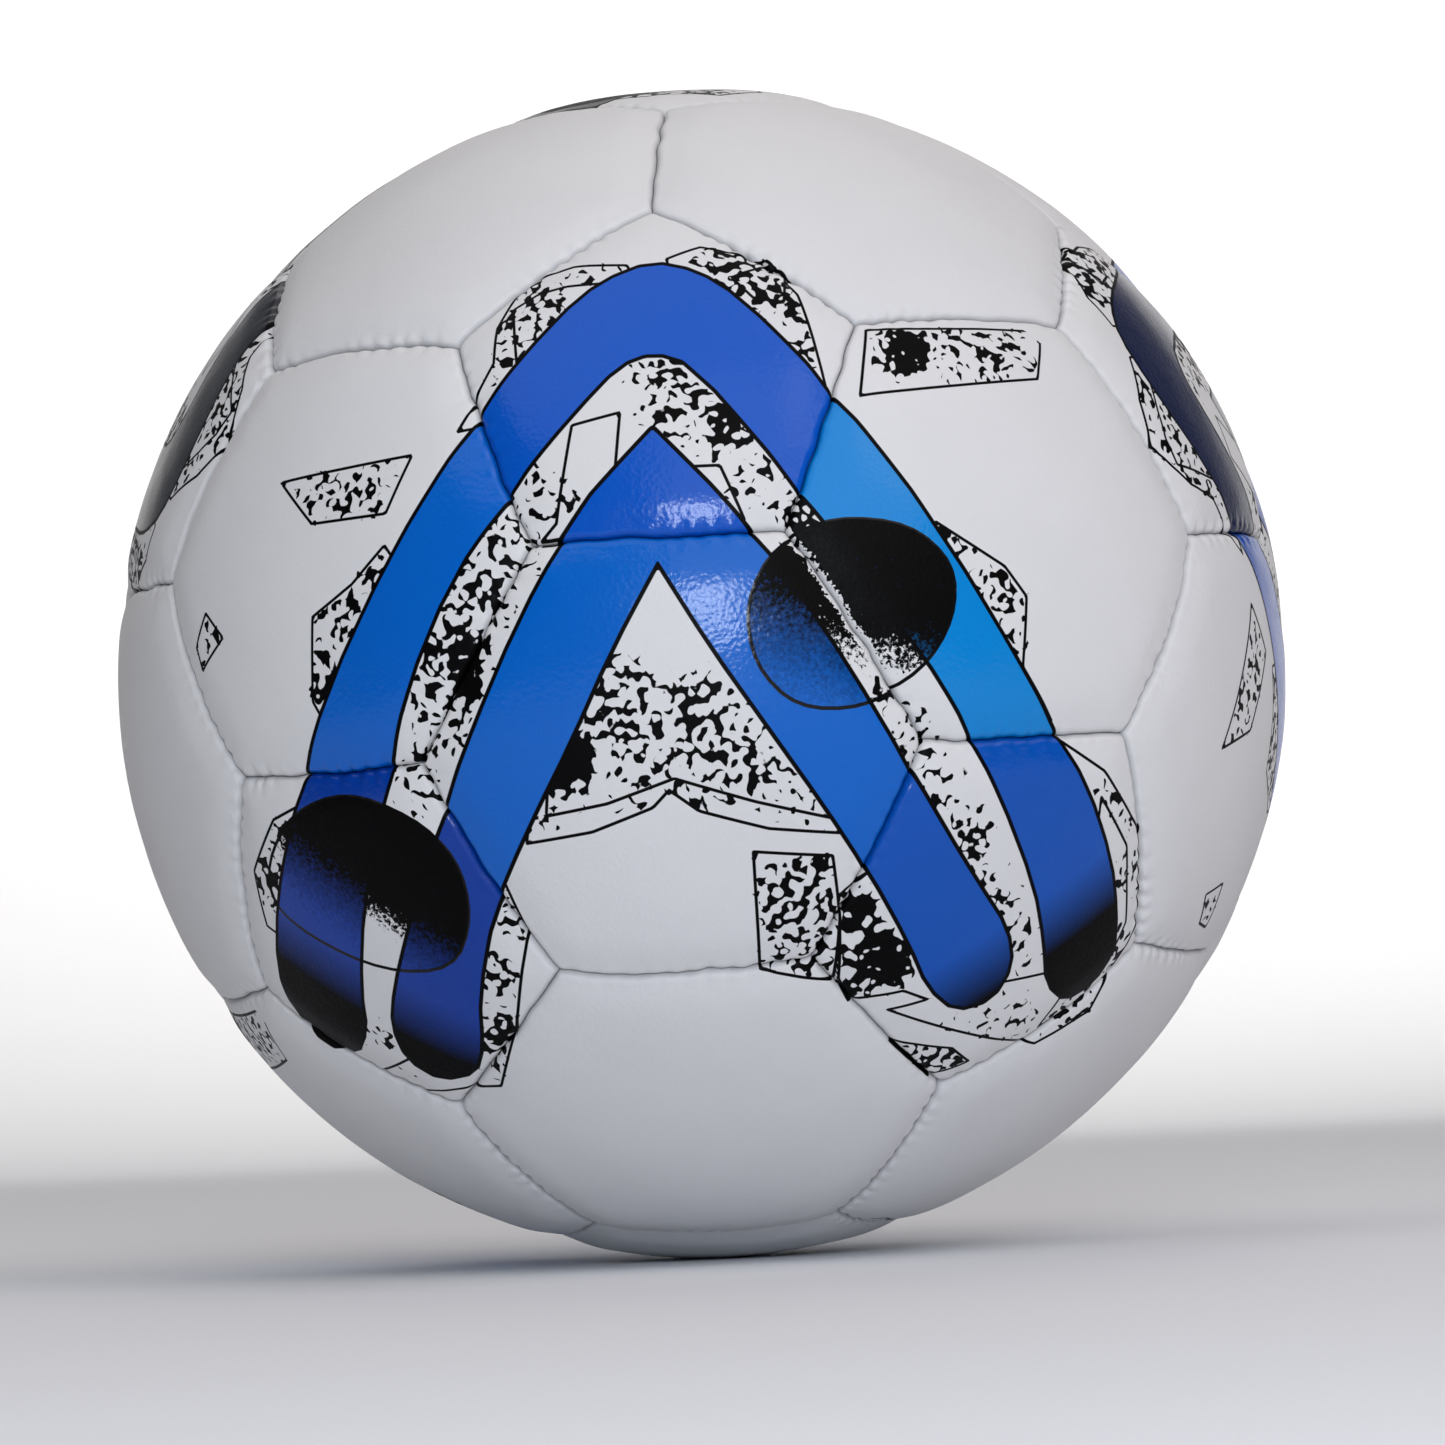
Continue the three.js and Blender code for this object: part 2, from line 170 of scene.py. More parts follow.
# A wide lamp high behind the ball that lights only the paper's sweep.
PAPER_LAMP_PLACE = Vector((0.2, 0.9, 3.2))
PAPER_LAMP_AIM = Vector((0.1, 3.6, 0.1))
pool = bpy.data.lights.new("paper_lamp", "SPOT")
pool.energy = 500
pool.color = linear("#fffaf3")[:3]
pool.spot_size = math.radians(75)
pool.spot_blend = 0.9
pool.shadow_soft_size = 0.3
pool_lamp = bpy.data.objects.new("paper_lamp", pool)
bpy.context.scene.collection.objects.link(pool_lamp)
pool_lamp.location = PAPER_LAMP_PLACE
pool_lamp.rotation_euler = (PAPER_LAMP_PLACE - PAPER_LAMP_AIM).to_track_quat("Z", "Y").to_euler()

world = bpy.data.worlds.new("studio_air")
bpy.context.scene.world = world
world.use_nodes = True
world.node_tree.nodes["Background"].inputs["Color"].default_value = linear("#e6eaf2")
world.node_tree.nodes["Background"].inputs["Strength"].default_value = 0.07

# ---------------------------------------------------------------------------
# The bladder: a seamless butyl rubber bag blown up inside the cover, with a
# round patch glued on opposite the valve to balance the valve's weight.
# ---------------------------------------------------------------------------
# Moulded butyl rubber: nearly black, dull, with a faint powdery bloom in 17 mm clouds and
# a skin roughened every 0.7 mm.
butyl, tree, shader = new_material("moulded_butyl_rubber", {"Roughness": 0.72, "IOR": 1.52})
place = add_node(tree, "TexCoord").outputs["Object"]
bloom = add_node(tree, "TexNoise", None, {
    "Vector": place, "Scale": 60, "Detail": 4, "Roughness": 0.6})
tone = add_node(tree, "MixRGB", None, {
    "Fac": bloom.outputs["Fac"], "Color1": linear("#242426"), "Color2": linear("#3a3a3d")})
skin = add_node(tree, "TexNoise", None, {"Vector": place, "Scale": 1500, "Detail": 2})
bump = add_node(tree, "Bump", None, {
    "Height": skin.outputs["Fac"], "Strength": 0.4, "Distance": 0.05 * MM})
tree.links.new(tone.outputs["Color"], shader.inputs["Base Color"])
tree.links.new(bump.outputs["Normal"], shader.inputs["Normal"])
for name in ("bladder", "balance_patch"):
    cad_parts[name].data.materials.clear()
    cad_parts[name].data.materials.append(butyl)

# The reinforcement ring: a washer of woven cotton and polyester cloth, glued behind
# the valve panel so that its hole doesn't tear.
THREAD_SPACING = 0.6 * MM
WAVE_BANDS = 20
# Woven cloth: warm off-white, dull, with a plain weave of 0.6 mm threads.
cloth, tree, shader = new_material("woven_backing_cloth", {
    "Roughness": 0.9, "Sheen Weight": 0.25})
place = add_node(tree, "TexCoord").outputs["Object"]
warp = add_node(tree, "TexWave", {"bands_direction": "X"}, {
    "Vector": place, "Scale": 1 / THREAD_SPACING / WAVE_BANDS, "Distortion": 0.4})
weft = add_node(tree, "TexWave", {"bands_direction": "Y"}, {
    "Vector": place, "Scale": 1 / THREAD_SPACING / WAVE_BANDS, "Distortion": 0.4})
weave = add_node(tree, "Math", {"operation": "MAXIMUM"})
tree.links.new(warp.outputs["Fac"], weave.inputs[0])
tree.links.new(weft.outputs["Fac"], weave.inputs[1])
tone = add_node(tree, "MixRGB", None, {
    "Fac": weave.outputs["Value"], "Color1": linear("#9c968a"), "Color2": linear("#c6c0b2")})
bump = add_node(tree, "Bump", None, {
    "Height": weave.outputs["Value"], "Strength": 0.6, "Distance": 0.15 * MM})
tree.links.new(tone.outputs["Color"], shader.inputs["Base Color"])
tree.links.new(bump.outputs["Normal"], shader.inputs["Normal"])
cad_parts["valve_reinforcement"].data.materials.clear()
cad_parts["valve_reinforcement"].data.materials.append(cloth)


# ---------------------------------------------------------------------------
# The valve: a moulded rubber body bonded into the bladder, whose round head
# shows in the top pentagon, and a softer core plugged into it for the needle.
# ---------------------------------------------------------------------------
def turned(name, profile, segments, closed_ring):
    """A turned shape: a circle extruded ring by ring along (radius, height) points in mm."""
    start_fresh()
    radius, height = profile[0]
    bpy.ops.mesh.primitive_circle_add(
        vertices=segments, radius=radius * MM, location=(0, 0, height * MM), fill_type="NOTHING")
    piece = bpy.context.object
    piece.name = piece.data.name = name
    bpy.ops.object.transform_apply(location=True, rotation=False, scale=False)
    bpy.ops.object.mode_set(mode="EDIT")
    bpy.ops.mesh.select_mode(type="EDGE")
    bpy.ops.mesh.select_all(action="SELECT")
    if not closed_ring:
        bpy.ops.mesh.extrude_region()
        bpy.ops.mesh.merge(type="CENTER")
        bpy.ops.mesh.select_all(action="DESELECT")
        bpy.ops.mesh.select_non_manifold()
    rest = profile[1:] + ([profile[0]] if closed_ring else [])
    for next_radius, next_height in rest:
        bpy.ops.mesh.extrude_region_move(
            TRANSFORM_OT_translate={"value": (0, 0, (next_height - height) * MM)})
        factor = next_radius / radius
        bpy.ops.transform.resize(value=(factor, factor, 1), center_override=(0, 0, 0))
        radius, height = next_radius, next_height
    if not closed_ring:
        bpy.ops.mesh.extrude_region()
        bpy.ops.mesh.merge(type="CENTER")
    bpy.ops.mesh.select_all(action="SELECT")
    bpy.ops.mesh.remove_doubles(threshold=0.01 * MM)
    bpy.ops.mesh.normals_make_consistent(inside=False)
    bpy.ops.object.mode_set(mode="OBJECT")
    bpy.ops.object.shade_smooth_by_angle(angle=math.radians(35))
    return piece


# Soft moulded rubber: black with a dull sheen, rubbed a little grey in 3 mm patches by
# pump needles, over a skin with a 0.4 mm grain.
valve_rubber, tree, shader = new_material("moulded_valve_rubber", {
    "Roughness": 0.55, "IOR": 1.52})
place = add_node(tree, "TexCoord").outputs["Object"]
rubbed = add_node(tree, "TexNoise", None, {
    "Vector": place, "Scale": 320, "Detail": 5, "Roughness": 0.65})
tone = add_node(tree, "MixRGB", None, {
    "Fac": rubbed.outputs["Fac"], "Color1": linear("#121213"), "Color2": linear("#2b2b2d")})
dullness = add_node(tree, "MapRange", None, {
    "Value": rubbed.outputs["Fac"], "To Min": 0.42, "To Max": 0.68})
skin = add_node(tree, "TexNoise", None, {"Vector": place, "Scale": 2600, "Detail": 2})
bump = add_node(tree, "Bump", None, {
    "Height": skin.outputs["Fac"], "Strength": 0.5, "Distance": 0.04 * MM})
tree.links.new(tone.outputs["Color"], shader.inputs["Base Color"])
tree.links.new(dullness.outputs["Result"], shader.inputs["Roughness"])
tree.links.new(bump.outputs["Normal"], shader.inputs["Normal"])

# Radii and heights in mm. The head stands in the valve hole, and the plate lies under the cloth.
body_low, body_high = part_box("valve_body")
core_low, core_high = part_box("valve_core")
HEAD_TOP = body_high.z / MM
BODY_END = body_low.z / MM
CORE_TOP = core_high.z / MM
CORE_END = core_low.z / MM
PLATE = body_high.x / MM
PLATE_TOP = 104.8
PLATE_UNDER = 103.95
BORE = 2.9
HEAD = 4.4
STEM = 5.0
valve_body = turned("valve_body_rubber", [
    (BORE, HEAD_TOP - 0.5), (BORE + 0.15, HEAD_TOP - 0.15), (BORE + 0.45, HEAD_TOP),
    (HEAD - 0.55, HEAD_TOP), (HEAD - 0.2, HEAD_TOP - 0.12), (HEAD, HEAD_TOP - 0.45),
    (HEAD, PLATE_TOP + 0.4), (HEAD + 0.3, PLATE_TOP + 0.05), (PLATE - 0.4, PLATE_TOP),
    (PLATE, PLATE_TOP - 0.25), (PLATE, PLATE_UNDER + 0.3), (PLATE - 0.4, PLATE_UNDER + 0.05),
    (STEM + 0.4, PLATE_UNDER), (STEM, PLATE_UNDER - 0.45),
    (STEM, BODY_END + 1.2), (STEM - 0.5, BODY_END + 0.3), (STEM - 1.1, BODY_END),
    (BORE, BODY_END)], 64, True)
valve_core = turned("valve_core_rubber", [
    (0.5, CORE_TOP - 2.4), (1.15, CORE_TOP - 1.3), (1.25, CORE_TOP - 0.9),
    (1.7, CORE_TOP - 0.35), (1.95, CORE_TOP - 0.05), (2.1, CORE_TOP), (2.4, CORE_TOP - 0.08),
    (2.6, CORE_TOP - 0.4), (2.6, CORE_END + 0.6), (2.2, CORE_END)], 48, False)
for piece, node in ((valve_body, "valve_body"), (valve_core, "valve_core")):
    piece.data.materials.append(valve_rubber)
    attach(piece, "root")
    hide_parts(node)

# ---------------------------------------------------------------------------
# The cover: 12 pentagons and 20 hexagons cut from polyurethane synthetic leather
# on foam and cloth. Each panel's edges are turned in and sewn back to back to its
# neighbours, so every seam is a narrow valley with puckers where the stitches pull.
# ---------------------------------------------------------------------------
# The inradii are angles at the ball's middle, and the other sizes are in mm. SEAM_STEPS rows
# of faces run from a panel's middle to each seam, and crowd together towards it.
HEXAGON_INRADIUS = math.radians(20.905)
PENTAGON_INRADIUS = math.radians(16.472)
SEAM_STEPS = 72
SEAM_CROWDING = 1.35
SEAM_GAP = 0.05
EDGE_END = 104.3
HEM_INSIDE = 0.965
BACK_INSIDE = 0.68
BACK_RADIUS = 106.7
ROLL_RADIUS = 1.5
VALLEY_DEPTH = 0.95
VALLEY_WIDTH = 4.6
STITCH_PITCH = 3.72
# Sewing by hand: how deep the stitches pull the leather in, how unevenly, and how far to
# each side, and how far the seams wander and ripple from their straight lines.
PULL_DEPTH = 0.30
PULL_UNEVEN = 0.34
PUCKER_WIDTH = 1.8
WANDER = 0.55
RIPPLE = 0.17
# Blowing up: how much the foam swells and the skin settles, just under the full radius.
FOAM_SWELL = 0.10
GRAIN_SETTLE = 0.018
SKIN_LOW = 0.12
# A distance that counts as far from every seam and every printed line.
FAR = 60.0


def panel_blank(name, sides, inradius):
    """One panel, cut out flat, pressed round and hemmed, lying at the top of the ball."""
    start_fresh()
    across = (inradius * BALL_RADIUS - SEAM_GAP * MM) / BALL_RADIUS
    corner = math.tan(across) / math.cos(math.pi / sides) * BALL_RADIUS
    bpy.ops.mesh.primitive_circle_add(
        vertices=sides, radius=corner, fill_type="TRIFAN", location=(0, 0, BALL_RADIUS))
    blank = bpy.context.object
    blank.name = blank.data.name = name
    bpy.ops.object.transform_apply(location=True, rotation=False, scale=False)
    bpy.ops.object.mode_set(mode="EDIT")
    bpy.ops.mesh.select_all(action="SELECT")
    bpy.ops.mesh.subdivide(number_cuts=SEAM_STEPS - 1)
    bpy.ops.object.mode_set(mode="OBJECT")
    spots = np.array([v.co for v in blank.data.vertices])
    inner = corner * math.cos(math.pi / sides)
    sector = 2 * math.pi / sides
    azimuth = np.arctan2(spots[:, 0], spots[:, 1])
    side_azimuth = (np.floor(azimuth / sector) + 0.5) * sector
    reach = np.hypot(spots[:, 0], spots[:, 1]) * np.cos(azimuth - side_azimuth) / inner
    reach = np.clip(reach, 1e-9, 1)
    crowded = (1 - (1 - reach) ** SEAM_CROWDING) / reach
    spots[:, :2] *= np.where(reach > 1e-6, crowded, 1)[:, None]
    blank.data.vertices.foreach_set("co", spots.ravel())
    cast = blank.modifiers.new("press_round", "CAST")
    cast.cast_type = "SPHERE"
    cast.factor = 1
    cast.use_radius_as_size = False
    cast.size = BALL_RADIUS
    bpy.ops.object.modifier_apply(modifier=cast.name)
    bpy.ops.object.mode_set(mode="EDIT")
    bpy.ops.mesh.select_mode(type="EDGE")
    bpy.ops.mesh.select_all(action="DESELECT")
    bpy.ops.mesh.select_non_manifold()
    turn_in = EDGE_END * MM / BALL_RADIUS
    middle = (0, 0, EDGE_END * MM)
    bpy.ops.mesh.extrude_region_move()
    bpy.ops.transform.resize(value=(turn_in,) * 3, center_override=(0, 0, 0))
    bpy.ops.mesh.extrude_region_move()
    bpy.ops.transform.resize(value=(HEM_INSIDE, HEM_INSIDE, 1), center_override=middle)
    bpy.ops.mesh.extrude_region_move()
    lift = BACK_RADIUS / EDGE_END
    bpy.ops.transform.resize(value=(lift,) * 3, center_override=(0, 0, 0))
    for share in (0.66, 0.33):
        bpy.ops.mesh.extrude_region_move()
        bpy.ops.transform.resize(value=(share, share, 1), center_override=(0, 0, 0))
    bpy.ops.mesh.extrude_region_move()
    bpy.ops.mesh.merge(type="CENTER")
    bpy.ops.mesh.select_all(action="SELECT")
    bpy.ops.mesh.normals_make_consistent(inside=False)
    bpy.ops.object.mode_set(mode="OBJECT")
    spots = np.array([v.co for v in blank.data.vertices])
    radii = np.linalg.norm(spots, axis=1)
    flat = np.hypot(spots[:, 0], spots[:, 1])
    back = (radii < (BACK_RADIUS + 0.5) * MM) & (flat < BACK_INSIDE * flat.max())
    spots[back] *= (BACK_RADIUS * MM / radii[back])[:, None]
    blank.data.vertices.foreach_set("co", spots.ravel())
    return blank


def waves(seed, length, count=7):
    """A smooth uneven field over the ball: a sum of waves about `length` mm long."""
    draw = np.random.default_rng(seed)
    ways = draw.normal(size=(count, 3))
    ways /= np.linalg.norm(ways, axis=1)[:, None]
    ways *= (2 * math.pi / length) * draw.uniform(0.7, 1.4, count)[:, None]
    starts = draw.uniform(0, 2 * math.pi, count)
    return lambda spots: np.sin(spots @ ways.T + starts).sum(1) / math.sqrt(count)


# Each field's second value is its wave length in mm.
stitch_pull = waves(3, 38)
stitch_shift = waves(4, 15)
foam_swell = waves(5, 34)
seam_wander = [waves(11, 70), waves(12, 70), waves(13, 70)]
seam_ripple = [waves(14, 8.5), waves(15, 8.5), waves(16, 8.5)]
grain_settle = waves(6, 9)


def side_frames(sides, inradius):
    """For each side of a blank: outward plane normal, way along the side, its middle."""
    found = []
    for side in range(sides):
        turn = (side + 0.5) * 2 * math.pi / sides
        out = np.array([math.sin(turn), math.cos(turn), 0])
        normal = out * math.cos(inradius) - np.array([0, 0, math.sin(inradius)])
        middle = out * math.sin(inradius) + np.array([0, 0, math.cos(inradius)])
        found.append((normal, np.cross(middle, normal), middle))
    return found


def wandered(ways):
    """Directions nudged along the surface by the same field for every panel."""
    spots = ways * BALL_MM
    nudge = np.stack([field(spots) for field in seam_wander], axis=1) * WANDER / BALL_MM
    nudge += np.stack([field(spots) for field in seam_ripple], axis=1) * RIPPLE / BALL_MM
    nudge -= (nudge * ways).sum(1)[:, None] * ways
    moved = ways + nudge
    return moved / np.linalg.norm(moved, axis=1)[:, None]


def sculpted(spots, turn, sides, inradius):
    """Rolls the edges over, sinks the seam valleys and puckers them at the stitches."""
    radii = np.linalg.norm(spots, axis=1) / MM
    ways = spots / np.linalg.norm(spots, axis=1)[:, None]
    face = radii > BALL_MM - 0.1
    drop = np.zeros(len(spots))
    crease = np.full(len(spots), FAR)
    for normal, along, middle in side_frames(sides, inradius):
        inside = np.maximum(np.arcsin(np.clip(-ways @ normal, -1, 1)) * BALL_MM, 0)
        crease = np.minimum(crease, np.where(face, inside, 0))
        bend = np.arctan2(ways @ along, ways @ middle)
        run = bend * BALL_MM
        seam = np.cos(bend)[:, None] * middle + np.sin(bend)[:, None] * along
        seam = seam @ turn.T * BALL_MM
        roll = np.clip(1 - inside / ROLL_RADIUS, 0, 1)
        valley = ROLL_RADIUS * (1 - np.sqrt(np.clip(1 - roll ** 2, 0, 1)))
        valley += VALLEY_DEPTH * np.exp(-(inside / VALLEY_WIDTH) ** 2)
        pull = np.clip(PULL_DEPTH + PULL_UNEVEN * stitch_pull(seam), 0.03, 0.95)
        phase = 2 * math.pi * (run / STITCH_PITCH) + 1.3 * stitch_shift(seam)
        pucker = (0.5 + 0.5 * np.cos(phase)) ** 1.5
        valley += pull * pucker * np.exp(-(inside / PUCKER_WIDTH) ** 2)
        drop += valley ** 3
    drop = np.cbrt(drop)
    ways = ways @ turn.T
    swell = FOAM_SWELL * foam_swell(ways * BALL_MM) + GRAIN_SETTLE * grain_settle(ways * BALL_MM)
    radii = np.where(face, np.minimum(BALL_MM - drop + swell - SKIN_LOW, BALL_MM + 0.2), radii)
    return wandered(ways) * radii[:, None] * MM, crease


def node_turn(name):
    """The turn that carries a blank from the top of the ball to a CAD panel's place."""
    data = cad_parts[name].data
    spots = np.empty(len(data.vertices) * 3, np.float32)
    data.vertices.foreach_get("co", spots)
    ways = spots.reshape(-1, 3).astype(float)
    ways /= np.linalg.norm(ways, axis=1)[:, None]
    middle = ways.mean(0)
    middle /= np.linalg.norm(middle)
    corner = ways[np.argmin(ways @ middle)]
    up = corner - (corner @ middle) * middle
    up /= np.linalg.norm(up)
    return np.stack([np.cross(up, middle), up, middle], axis=1)


PANELS = [n for n in sorted(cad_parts) if n.startswith(("pentagon", "hexagon"))]
turns = {name: node_turn(name) for name in PANELS}
hexagon_blank = panel_blank("hexagon_blank", 6, HEXAGON_INRADIUS)
pentagon_blank = panel_blank("pentagon_blank", 5, PENTAGON_INRADIUS)

panels = {}
for name in PANELS:
    sides, inradius, blank = (
        (5, PENTAGON_INRADIUS, pentagon_blank) if name.startswith("pentagon")
        else (6, HEXAGON_INRADIUS, hexagon_blank))
    mesh = blank.data.copy()
    mesh.name = name + "_cover"
    spots = np.empty(len(mesh.vertices) * 3)
    mesh.vertices.foreach_get("co", spots)
    spots, crease = sculpted(spots.reshape(-1, 3), turns[name], sides, inradius)
    depth = mesh.attributes.new("crease", "FLOAT", "POINT")
    depth.data.foreach_set("value", crease.astype(np.float32))
    if name == "pentagon_bottom":
        spots[:, 2] = np.maximum(spots[:, 2], -BALL_RADIUS + 0.02 * MM)
    mesh.vertices.foreach_set("co", spots.ravel())
    piece = bpy.data.objects.new(name + "_cover", mesh)
    bpy.context.scene.collection.objects.link(piece)
    panels[name] = piece
bpy.data.objects.remove(hexagon_blank)
bpy.data.objects.remove(pentagon_blank)

# The valve hole is punched through the top pentagon before it is sewn in.
VALVE_HOLE = 4.7
start_fresh()
bpy.ops.mesh.primitive_cylinder_add(
    vertices=96, radius=VALVE_HOLE * MM, depth=14 * MM, location=(0, 0, 107 * MM))
punch = bpy.context.object
start_fresh()
top = panels["pentagon_top"]
bpy.context.view_layer.objects.active = top
top.select_set(True)
cut = top.modifiers.new("punch", "BOOLEAN")
cut.object = punch
cut.operation = "DIFFERENCE"
cut.solver = "EXACT"
bpy.ops.object.modifier_apply(modifier=cut.name)
bpy.data.objects.remove(punch)
for v, crease in zip(top.data.vertices, top.data.attributes["crease"].data):
    if v.co.xy.length < 2 * VALVE_HOLE * MM:
        crease.value = FAR
for piece in panels.values():
    start_fresh()
    bpy.context.view_layer.objects.active = piece
    piece.select_set(True)
    bpy.ops.object.shade_smooth_by_angle(angle=math.radians(50))

# ---------------------------------------------------------------------------
# The print: each panel is screen printed before it is sewn. Two nested chevron
# bands sit round one hexagon and reach into the three pentagons beside it, with
# thin outlines and black brushed flecks between them, and the pattern comes
# four times round the ball. Sizes are in mm from the middle of its hexagon.
# ---------------------------------------------------------------------------
CORNER_CUT = 0.24
OUTER_BAND = [
    (0, 94.2), (-10, 90.2), (-18.3, 82.7), (-35.2, 61.2), (-50.6, 37.4), (-63.8, 13.5),
    (-74, -10), (-82, -30), (-86.5, -46), (-86, -57), (-80, -65), (-71, -64), (-66, -56),
    (-65, -46), (-61, -28), (-54, -7), (-47.7, 13.6), (-38.4, 33.2), (-26.5, 49.1),
    (-14.8, 62.6), (-6.4, 71.8), (0.3, 74.2), (7.8, 71.3), (25.1, 48.2), (39.9, 25.6),
    (50.9, 8.5), (59.8, -11.1), (67, -31), (69.5, -44), (70.5, -54), (76, -60.5), (83, -59),
    (87, -52), (86.6, -42), (84.4, -30.1), (78.5, -13.5), (70.9, 0.6), (50.6, 38.7),
    (33, 65.4), (17, 85.1), (9, 91.5)]
INNER_BAND = [
    (0, 58.4), (-14.8, 42.9), (-25.2, 25.5), (-35.3, 4.6), (-43.6, -13.8), (-50.5, -30),
    (-56.5, -45), (-59, -54), (-57.5, -62), (-51, -66), (-43.5, -63.5), (-40.5, -56),
    (-39, -44), (-34.1, -26.5), (-25.3, -10.2), (-17, 4.3), (-9.2, 19.7), (0, 35.3),
    (9, 19.6), (18.1, 5.2), (27, -9.2), (34.5, -22.6), (41.5, -38), (45, -48), (50.5, -54.5),
    (58, -54), (62, -47.5), (60.8, -39), (54.5, -28), (48.5, -17), (41.7, -3.2),
    (32.5, 14.5), (21.9, 32.2), (12.5, 44.4)]
BAND_TIPS = ((0, 58.4), (0, 35.3))
UNDER_OUTLINES = [
    [(-38, 61), (-35, 67), (-31, 74), (-31, 82), (-29, 87), (-26, 93), (-16, 95), (-5, 94),
     (0, 84), (-25, 64)],
    [(3, 95), (10, 98), (15, 97), (23, 96), (28, 91), (27, 89), (29, 86), (31, 76), (33, 65),
     (20, 70), (5, 86)],
    [(-52, 40), (-59, 33), (-68, 27), (-68, 11), (-66, 8), (-55, 5), (-46, 32)],
    [(51, 39), (64, 30), (68, 24), (66, 11), (72, 0), (60, 3), (45, 34)],
    [(73, -3), (83, -11), (93, -26), (94, -48), (82, -66), (69, -70), (37, -52), (50, -50),
     (78, -52), (80, -30), (70, -8)],
    [(-72, -8), (-80, -12), (-88, -24), (-87, -36), (-78, -40), (-68, -10)],
    [(-31, -22), (-28, -31), (-33, -52), (-38, -66), (-56, -71), (-66, -68), (-52, -58),
     (-46, -45), (-38, -26)],
    [(-26, -14), (-14, -12), (-3, -8), (0, -5), (5, -9), (17, -13), (30, -15), (22, 8),
     (0, 45), (-22, 8)],
    [(29, -27), (36, -22), (54, -52), (45, -51), (40, -48), (30, -49), (28, -44)]]
LOOSE_MARKS = [
    [(42, 78.5), (82, 80), (78, 68), (39, 64)],
    [(-78, 54), (-47, 57), (-52, 46), (-69, 45)],
    [(-98, 28), (-92, 23), (-99, 16), (-101, 21)],
    [(14, -17), (28, -19), (29, -30), (27, -44), (14, -40)],
    [(38, -60), (50, -64), (54, -69), (46, -71)]]
OVER_OUTLINES = [
    [(-28, 86), (-23, 89), (-17, 90), (-8, 90), (-15, 80), (-26, 72)],
    [(24, 94), (27, 91), (26, 84), (20, 85), (16, 90)],
    [(-15, 60), (-18, 42), (-21, 39), (-8, 40), (-6, 62)],
    [(-15, 40), (-13, 50), (-7, 51), (7, 51), (12, 51), (16, 41), (0, 38)],
    [(-22, -9), (-11, -7), (1, -3), (15, -8), (28, -12), (20, 8), (0, 45), (-20, 8)],
    [(82, -16), (89, -28), (90, -46), (81, -62), (70, -66), (76, -56), (80, -30)]]
# Patches of black flecks: place, size and how thickly they lie.
FLECKS = [
    (-24, 84, 7, .62), (-29, 75, 5, .6), (-12, 93, 4, .5), (18, 93, 7, .7), (25, 85, 6, .7),
    (30, 74, 4, .6), (7, 65, 7, .62), (13, 59, 5, .85), (13.5, 59, 2.5, 1.3), (0, 70, 4, .55),
    (18, 49, 4, .55), (-29, 40, 6, .6), (-33, 31, 6, .66), (-38, 21, 6, .85), (-36, 19, 3, 1.5),
    (-36, 14, 2.5, 1.4), (-41, 10, 6, .66), (-47, -3, 5, .5), (-53, -20, 6, .4), (-20, 47, 4, .5),
    (-60, 27, 6, .6), (-65, 15, 5, .75), (-54, 35, 4, .62), (-80, -12, 6, .66), (-85, -24, 5, .8),
    (-11, 11, 6, .7), (-19, 2, 6, 1.0), (-18.5, 1, 4.5, 1.7), (-5, 7, 6, .72), (6, 8, 6, .7),
    (12, -1, 6, .62), (-5, -2, 5, .55), (23, -7, 5, .42), (-25, -9, 4, .5), (4, -3, 5, .5),
    (28, 42, 6, .75), (54, 35, 5, .66), (62, 24, 5, .66), (66, 13, 4, .55), (42, -1, 5, .5),
    (46, -11, 5, .5), (51, -21, 6, .62), (57, -32, 5, .62), (63, -42, 5, .5), (36, 8, 4, .6),
    (87, -18, 5, .55), (91, -34, 5, .5), (88, -52, 5, .55), (78, -65, 5, .5), (60, -60, 6, .5),
    (-36, -39, 4, .9), (-36, -55, 6, .82), (-31, -28, 3, .6), (-62, -60, 5, .5),
    (21, -26, 7, .72), (22, -38, 6, .6), (32, -31, 3.5, 1.3), (36, -41, 5, 1.5), (31, -46, 4, .9),
    (49, 74, 5, .85), (50, 74, 4, 1.5), (67, 75, 9, .62), (-63, 51, 9, .55), (-97, 21, 4, .5),
    (46, -66, 6, .7)]
FLECK_FIELD = [
    (0, 93), (-18, 82), (-35, 61), (-50, 37), (-64, 13), (-79, -30), (-83, -55), (-70, -60),
    (-56, -60), (-40, -48), (-26, -12), (0, -5), (28, -13), (44, -46), (60, -58), (76, -58),
    (86, -46), (70, 0), (50, 38), (33, 65), (17, 84)]
# The black plates: outline, the way along which the black thickens, and the places on it
# where the black is full and where it has faded out.
SHADES = [
    ([(15, 27), (21, 37), (32, 41), (46, 39), (54, 31), (53, 21), (46, 12), (35, 7), (23, 8),
      (16, 16)], (0.38, 0.92), 38, 12),
    ([(-83, -21), (-75, -10), (-62, -5), (-48, -9), (-40, -17), (-38, -28), (-43, -39),
      (-58, -41), (-75, -36), (-84, -30)], (0.50, 0.87), -48, -66)]
# The black fade at the lower ends of the bands: where it starts and ends, in mm along
# a line that slants down towards the outside.
FOOT_SLANT = 0.45
RIGHT_FOOT_SHADE = (-65, -79)
LEFT_FOOT_SHADE = (-68, -81)
# How far a patch of flecks spreads past its size, how far each panel's screen slips, and how
# far the pattern reaches from its middle.
FLECK_SPREAD = 1.35
SCREEN_SLIP = 0.35
PATTERN_REACH = 112
PLAIN_PANELS = ("pentagon_bottom", "hexagon_upper_5")
